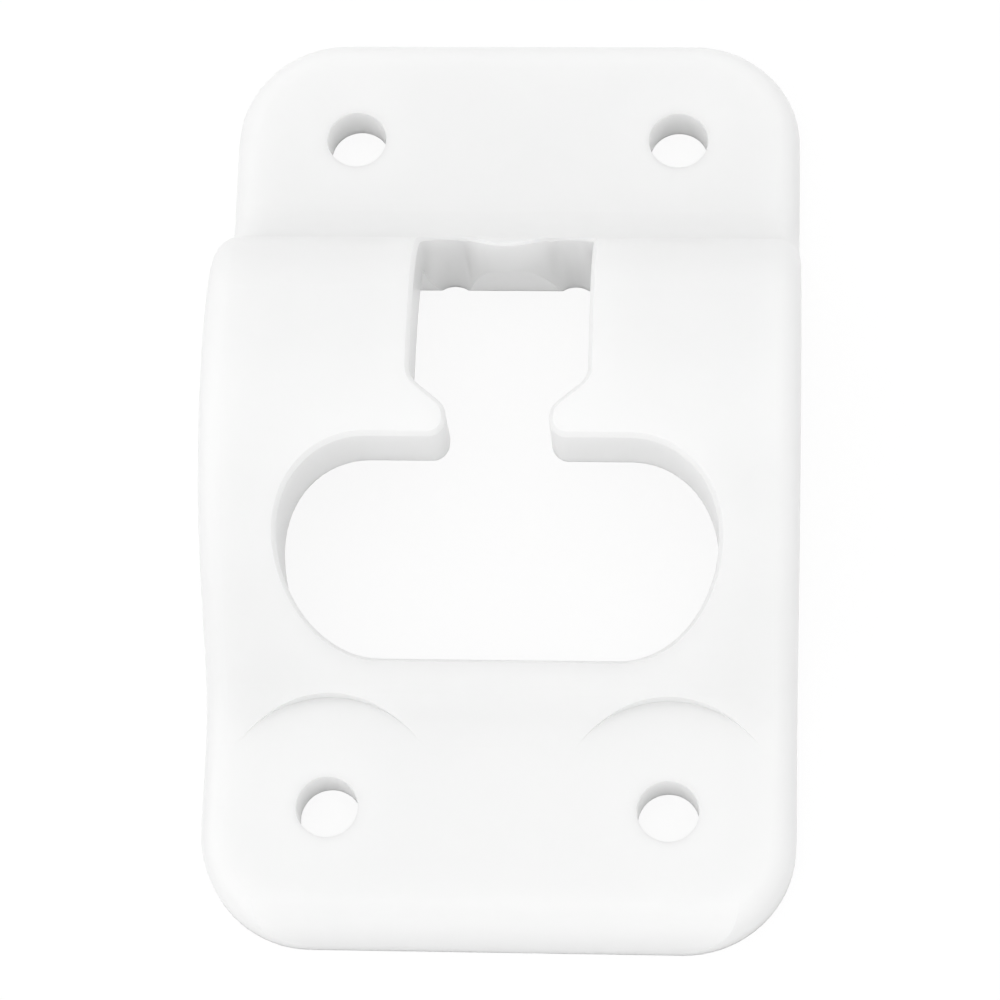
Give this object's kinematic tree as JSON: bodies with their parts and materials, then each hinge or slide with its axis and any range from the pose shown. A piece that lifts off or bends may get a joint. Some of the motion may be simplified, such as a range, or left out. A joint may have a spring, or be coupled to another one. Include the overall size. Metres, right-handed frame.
{
  "type": "t-style door catch",
  "caption": "Humped moulded wall plate with a wide slot, a necked notch and screw holes, which holds a door by the T-shaped head of its mating half.",
  "frame": {"origin": "under the middle of the plate, on the flat back that rests on the wall or door", "axes": "+Z out of the plate's front, +Y along the plate from the wide slot towards the closed end of the notch, +X across the plate"},
  "size_m": [0.0556, 0.0916, 0.0222],
  "materials": {
    "white_plastic": "moulded, satin to gloss"
  },
  "bodies": {
    "root": {"catch_plate": "white_plastic"}
  },
  "joints": []
}
